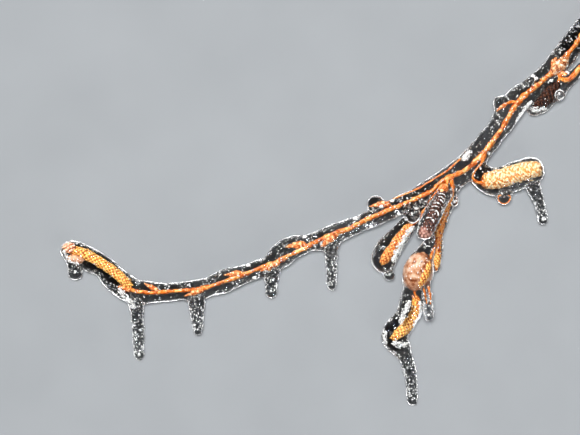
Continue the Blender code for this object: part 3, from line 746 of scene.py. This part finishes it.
def scaly_finish(name, root, middle, edge, roughness):
    """Bract colour that pales from each scale's root to its free edge, the dark root being painted shade
    where the scale tucks under its neighbour, in a tone of its own on every scale. Its veins are drawn
    several times as coarse as real ones, so that they show."""
    made, add, place = new_material(name)
    tip = add("ShaderNodeAttribute", attribute_name="tip", out="Fac")
    tint = add("ShaderNodeAttribute", attribute_name="tint", out="Fac")
    along = add("ShaderNodeMapRange", tip, -0.6, 1.0)
    wear = add("ShaderNodeTexNoise", place, named=every(0.5, Detail=3.0))
    # the noise adds wear; the rise from root to edge is painted shade, darkest where each scale tucks under
    # its neighbour
    worn = add("ShaderNodeMath", wear, 0.5, along, operation="MULTIPLY_ADD")
    shade = add("ShaderNodeMath", tint, 0.3, worn, operation="MULTIPLY_ADD")
    colour = add("ShaderNodeValToRGB", shade, stops=[(0.2, root), (0.62, middle), (0.8, edge)])
    down = add("ShaderNodeTexNoise", place, named=every(0.4))
    gloss = add("ShaderNodeMapRange", down, 0.3, 0.7, roughness, roughness + 0.15)
    veins = add("ShaderNodeTexNoise", place, named=every(0.22, Detail=3.0))
    normal = add("ShaderNodeBump", named={"Height": veins, "Distance": 0.05 * MM})
    shader = add("ShaderNodeBsdfPrincipled", named={
        "Base Color": colour, "Roughness": gloss, "Normal": normal})
    add("ShaderNodeOutputMaterial", shader)
    return made


def floor_paint():
    """Matt pale grey floor paint, rolled on: even, with the faintest cloudiness."""
    made, add, place = new_material("matt_floor_paint")
    clouds = add("ShaderNodeTexNoise", place, named=every(40, Detail=2.0))
    colour = add("ShaderNodeValToRGB", clouds, stops=[(0.3, "#96999C"), (0.7, "#9A9DA0")])
    shader = add("ShaderNodeBsdfPrincipled", named={"Base Color": colour, "Roughness": 0.8})
    add("ShaderNodeOutputMaterial", shader)
    return made


# golden male catkins: dry, slightly downy bracts, lightest at their tips
GOLDEN_BRACTS = scaly_finish("golden_catkin_bracts", "#4E1802", "#D4701A", "#FFCE76", 0.45)
# the slanting one, still amber and half closed
AMBER_BRACTS = scaly_finish("amber_catkin_bracts", "#5A1A02", "#D0641A", "#F8B468", 0.45)
# the ripest one, with most of its bracts open and paler
RIPE_BRACTS = scaly_finish("ripe_catkin_bracts", "#A4541C", "#F0A050", "#FFE6B8", 0.5)
# the dark one in front, frozen before it ripened: brown-pink bracts
ROSY_BRACTS = scaly_finish("rosy_catkin_bracts", "#100503", "#341A12", "#6E4638", 0.5)
# the rounded end of the dark one, blushed pink
BLUSHED_BRACTS = scaly_finish("blushed_catkin_bracts", "#44201A", "#966052", "#C89A8A", 0.4)
# the swollen tip of the left catkin, flushed pink where the frost caught it
FLUSHED_BRACTS = scaly_finish("flushed_catkin_bracts", "#8A3C24", "#D08260", "#F8C8A4", 0.45)
# the bracts crowded along the hanging shoot: rust red with bright yellow edges
RUSTY_BRACTS = scaly_finish("rusty_shoot_bracts", "#2E0802", "#C44A14", "#FFBC70", 0.4)
# last year's cone: weathered, nearly black-brown woody scales
WOODY_SCALES = scaly_finish("weathered_cone_scales", "#120704", "#2C130A", "#50290F", 0.45)
# bud scales: resinous red-brown with pale fringed edges
BUD_SCALES = scaly_finish("resinous_bud_scales", "#8A3410", "#D4702A", "#FFC890", 0.35)

low, high = cad_box
# how far each path hangs: icicles and the front catkin are fully ringed and beaded, drops partly
hung_shares = [1.0 if path in RIPPLED else 0.4 if path in DROPS else 0.0 for path in ICE_PATHS]
ice = grown("ice", "clear_ice", ICE_PATHS, ice_tree(), {
    "Point spacing": 0.3 * MM, "Voxel size": 0.46 * MM, "Skin growth": 0.06 * MM, "Fillet steps": 10,
    "Lump size": 4.3 * MM, "Lump height": 0.3 * MM, "Pebble size": 1.6 * MM, "Pebble height": 0.13 * MM,
    "Ring size": 1.2 * MM, "Ring stretch": Vector((0.16, 1.0, 0.16)), "Ring height": 0.5 * MM,
    "Cut point": CUT_POINT, "Cut direction": CUT_DIRECTION, "Cut reach": CUT_REACH, "Lowest": low,
    "Highest": high, "Material": glaze_ice()}, hung=hung_shares)
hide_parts(*[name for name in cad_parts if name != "twig_end"])

stems = stem_tree()
stem_sizes = {
    "Step": 0.25 * MM, "Wrinkle size": 0.7 * MM, "Wrinkle height": 0.07 * MM, "Cut point": STUB_END,
    "Cut direction": CUT_DIRECTION, "Cut reach": CUT_REACH, "Cut material": cut_wood()}
twig = grown("twig", "twig_bark", [MAIN_STEM] + SHOOTS + THIN_SHOOTS, stems, {
    **stem_sizes, "Material": young_bark()})
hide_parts("twig_end")
burl = grown("burl", "twig_bark", BURL, stems, {
    **stem_sizes, "Wrinkle height": 0.3 * MM, "Material": callus_bark()})
cores = grown("milky_cores", "clear_ice", MILKY_CORES, stems, {
    **stem_sizes, "Wrinkle size": 3 * MM, "Wrinkle height": 0.3 * MM, "Material": milky_ice()})
# the golden ring round the drop is a painted refraction of the ripe catkin above it
pollen = grown("pollen", "catkin", CATKIN_REFRACTION_AND_STREAKS, stems, {
    **stem_sizes, "Wrinkle size": 0.9 * MM, "Wrinkle height": 0.25 * MM, "Material": GOLDEN_BRACTS})
sealed = [twig, burl, cores, pollen]

# Bracts are drawn coarser than real ones: about 1.7 mm long, where real ones are nearer 1 mm.
scaly = scale_tree()
scale_sizes = {"Step": 0.4 * MM, "Stray angle": 0.09}
catkin_sizes = {
    **scale_sizes, "Scale spacing": 0.13 * MM, "Scale length": 0.85 * MM, "Scale width": 0.56 * MM,
    "Scale depth": 0.2 * MM, "Tilt": 0.16, "Taper": 0.35, "Curl": 250.0, "Sink": 0.92, "Core": 0.9,
    "Size by girth": 300.0, "Least size": 0.5}
ripe_sizes = {
    **scale_sizes, "Scale spacing": 0.062 * MM, "Scale length": 0.72 * MM, "Scale width": 0.6 * MM,
    "Scale depth": 0.24 * MM, "Tilt": 0.25, "Taper": 0.3, "Curl": 150.0, "Sink": 0.94, "Core": 0.94,
    "Size by girth": 100.0, "Least size": 0.72, "Stray angle": 0.5}
cone_sizes = {
    **scale_sizes, "Scale spacing": 0.16 * MM, "Scale length": 1.0 * MM, "Scale width": 0.8 * MM,
    "Scale depth": 0.25 * MM, "Tilt": 0.5, "Taper": 0.4, "Curl": 150.0, "Sink": 0.85, "Core": 0.75,
    "Size by girth": 200.0, "Least size": 0.5}
shoot_sizes = {
    **catkin_sizes, "Scale spacing": 0.2 * MM, "Scale length": 1.1 * MM, "Scale width": 0.7 * MM,
    "Tilt": 0.32, "Sink": 0.85, "Core": 0.8, "Stray angle": 0.6}
bud_sizes = {
    **scale_sizes, "Scale spacing": 0.6 * MM, "Scale length": 1.25 * MM, "Scale width": 0.85 * MM,
    "Scale depth": 0.12 * MM, "Tilt": 0.03, "Taper": 0.75, "Curl": 420.0, "Sink": 0.98, "Core": 0.97,
    "Size by girth": 700.0, "Least size": 0.2}
for name, slot, paths, sizes, seed, finish in (
        ("catkins", "catkin", CATKINS, catkin_sizes, 3, GOLDEN_BRACTS),
        ("amber_catkin", "catkin", AMBER_CATKIN, catkin_sizes, 13, AMBER_BRACTS),
        ("catkin_tip", "catkin", CATKIN_TIP, catkin_sizes, 9, FLUSHED_BRACTS),
        ("dark_catkin", "catkin", DARK_CATKIN, {**catkin_sizes, "Tilt": 0.2}, 4, ROSY_BRACTS),
        ("blushed_end", "catkin", BLUSHED_END, {**catkin_sizes, "Tilt": 0.05}, 14, BLUSHED_BRACTS),
        ("shoot_bracts", "twig_bark", SHOOT_BRACTS, shoot_sizes, 15, RUSTY_BRACTS),
        ("ripe_catkin", "catkin", RIPE_CATKIN, ripe_sizes, 5, RIPE_BRACTS),
        ("old_cone", "seed_cone", OLD_CONE, cone_sizes, 6, WOODY_SCALES),
        ("buds", "twig_bark", BUDS, bud_sizes, 8, BUD_SCALES)):
    sealed.append(grown(name, slot, paths, scaly, {**sizes, "Seed": seed, "Material": finish}))

air = bubble_tree()
SKIN_DEPTH = Vector((0.5, 0.5, 0.5)) * MM
air_room = {"Lowest": low + SKIN_DEPTH, "Highest": high - SKIN_DEPTH}
hanging = ICICLES + DROPS
# the share of places on each path that hold air: more where it hangs
clear_shares = [0.5 if path in hanging else 0.12 for path in ICE_PATHS]
bubbles = grown("bubbles", "clear_ice", ICE_PATHS, air, {
    **air_room, "Smallest": 0.1 * MM, "Largest": 0.36 * MM, "Size power": 3.0, "Stretch": 1.0,
    "Spacing": 0.12 * MM, "Nearest": 0.25, "Farthest": 0.76, "Seed": 11, "Ball detail": 2,
    "Material": trapped_air()}, share=clear_shares)
# White air is drawn coarser than real, which is mostly under 0.1 mm, so that single specks show.
white_air_and_painted_glints = cloudy_air_and_painted_glints()
clearest = (SIDE_TWIG, SEED_CONE, DROPS[4])
speck_shares = [0.06 if path in clearest else 0.32 if path in hanging else 0.22 for path in ICE_PATHS]
# these white specks are partly fine air, partly painted glints standing in for light sparkling off the ice
specks = grown("white_specks", "clear_ice", ICE_PATHS, air, {
    **air_room, "Smallest": 0.1 * MM, "Largest": 0.27 * MM, "Size power": 1.8, "Stretch": 1.8,
    "Spacing": 0.042 * MM, "Nearest": 0.7, "Farthest": 0.88, "Seed": 23, "Ball detail": 1,
    "Material": white_air_and_painted_glints}, share=speck_shares)
# a bright white cluster at the end of all that hangs: a painted highlight on each tip
tip_highlights = [[(x, y + rise, z + 0.5, 0.25) for rise in (0.1, 0.6)] for *_, (x, y, z, r) in hanging]
# painted glints: white specks where light glints off the outline
glints = [[(x + run, y, z - 0.3, 0.5) for run in (-0.5, 0.5)] for x, y, z in GLINTS * 3]
# thinner at the left tip, round the drops and in the rings
full_clouds_and_glints = CLOUDS_AND_GLARE[1:] + tip_highlights + glints
cloud_shares = [0.5] + [1.0] * len(full_clouds_and_glints) + [0.25] * len(DROP_RIM_HIGHLIGHTS) + [0.13] * len(RINGS)
# white clouds: cloudy ice, with the painted glints and highlights on the outline, tips, drop rims and rings
clouds = grown("white_clouds", "clear_ice", CLOUDS_AND_GLARE[:1] + full_clouds_and_glints + DROP_RIM_HIGHLIGHTS + RINGS, air, {
    **air_room, "Smallest": 0.06 * MM, "Largest": 0.34 * MM, "Size power": 2.5, "Stretch": 1.9,
    "Spacing": 0.03 * MM, "Nearest": 0.0, "Farthest": 1.2, "Seed": 29, "Ball detail": 1,
    "Material": white_air_and_painted_glints}, share=cloud_shares)
sealed += [specks, clouds]

# The room: a plain pale floor just under the ice, soft light and a camera looking straight down.
FLOOR_REACH, FLOOR_Z = 1.5, -0.03 * MM
floor_mesh = bpy.data.meshes.new("floor")
corners = [(x * FLOOR_REACH, y * FLOOR_REACH, FLOOR_Z) for x, y in ((-1, -1), (1, -1), (1, 1), (-1, 1))]
floor_mesh.from_pydata(corners, [], [(0, 1, 2, 3)])
floor_mesh.materials.append(floor_paint())
new_object("floor", floor_mesh)


def group(name, members):
    """A collection of pieces that some lights are kept to."""
    made = bpy.data.collections.new(name)
    for member in members:
        made.objects.link(member)
    return made


def softbox(name, place, size, power, lit=None, shading=None, tint="#FFFFFF", **seen):
    """A rectangular light aimed at the twig; lit and shading limit what it falls on and what shades it."""
    light = bpy.data.lights.new(name, "AREA")
    light.shape = "RECTANGLE"
    light.size, light.size_y = size
    light.energy = power
    light.color = linear(tint)[:3]
    made = new_object(name, light)
    made.location = place
    made.rotation_euler = (-Vector(place)).to_track_quat("-Z", "Y").to_euler()
    made.light_linking.receiver_collection = lit
    made.light_linking.blocker_collection = shading
    for way, shown in seen.items():
        setattr(made, "visible_" + way, shown)


def aside(turn, reach, height):
    """A place beside the twig, at that turn in degrees from +X."""
    return reach * math.cos(math.radians(turn)), reach * math.sin(math.radians(turn)), height


# Sizes in metres and powers in watts. What is sealed in the ice has its own lights, so no light is traced
# through the ice onto it; the ice has sparkles that only its gloss sees and rims that only its sheen sees.
clear_parts = group("clear_parts", [ice, bubbles])
sealed_parts = group("sealed_parts", sealed)
softbox("key", (-0.05, 0.1, 1.2), (0.3, 0.3), 18.5, glossy=False, transmission=False)
softbox("fill", (0.5, -0.6, 0.6), (0.8, 0.8), 1.4, transmission=False)
softbox("inner_key", (-0.4, 0.55, 0.6), (0.15, 0.15), 12.0, sealed_parts, sealed_parts)
softbox("inner_fill", (0.4, -0.5, 0.7), (0.5, 0.5), 5.0, sealed_parts, sealed_parts)
for name, turn in (("left_sparkle", 150), ("back_sparkle", 60), ("front_sparkle", -60)):
    softbox(name, aside(turn, 0.8, 0.5), (0.12, 0.12), 9.0, clear_parts, tint="#C4D2FF",
            diffuse=False, transmission=False)
for name, turn in (("left_rim", 178), ("back_rim", 118), ("right_rim", -4), ("front_rim", -62)):
    softbox(name, aside(turn, 1.0, 0.34), (0.8, 0.6), 95.0, clear_parts, glossy=False, transmission=False)
bpy.context.scene.cycles.caustics_refractive = False

world = bpy.data.worlds.new("studio")
bpy.context.scene.world = world
world.use_nodes = True
background = world.node_tree.nodes["Background"].inputs
background["Color"].default_value = linear("#C4C8CC")
background["Strength"].default_value = 0.09
bpy.context.scene.view_settings.view_transform = "Standard"
bpy.context.scene.view_settings.look = "Medium High Contrast"

VIEW_CENTRE = Vector((-15.4, -3.2, 6.5)) * MM
CAMERA_HEIGHT = Vector((0, 0, 0.87))
lens = bpy.data.cameras.new("camera")
lens.lens = 135
lens.sensor_width = 36
lens.clip_start = 0.01
camera = new_object("camera", lens)
camera.location = VIEW_CENTRE + CAMERA_HEIGHT
bpy.context.scene.camera = camera
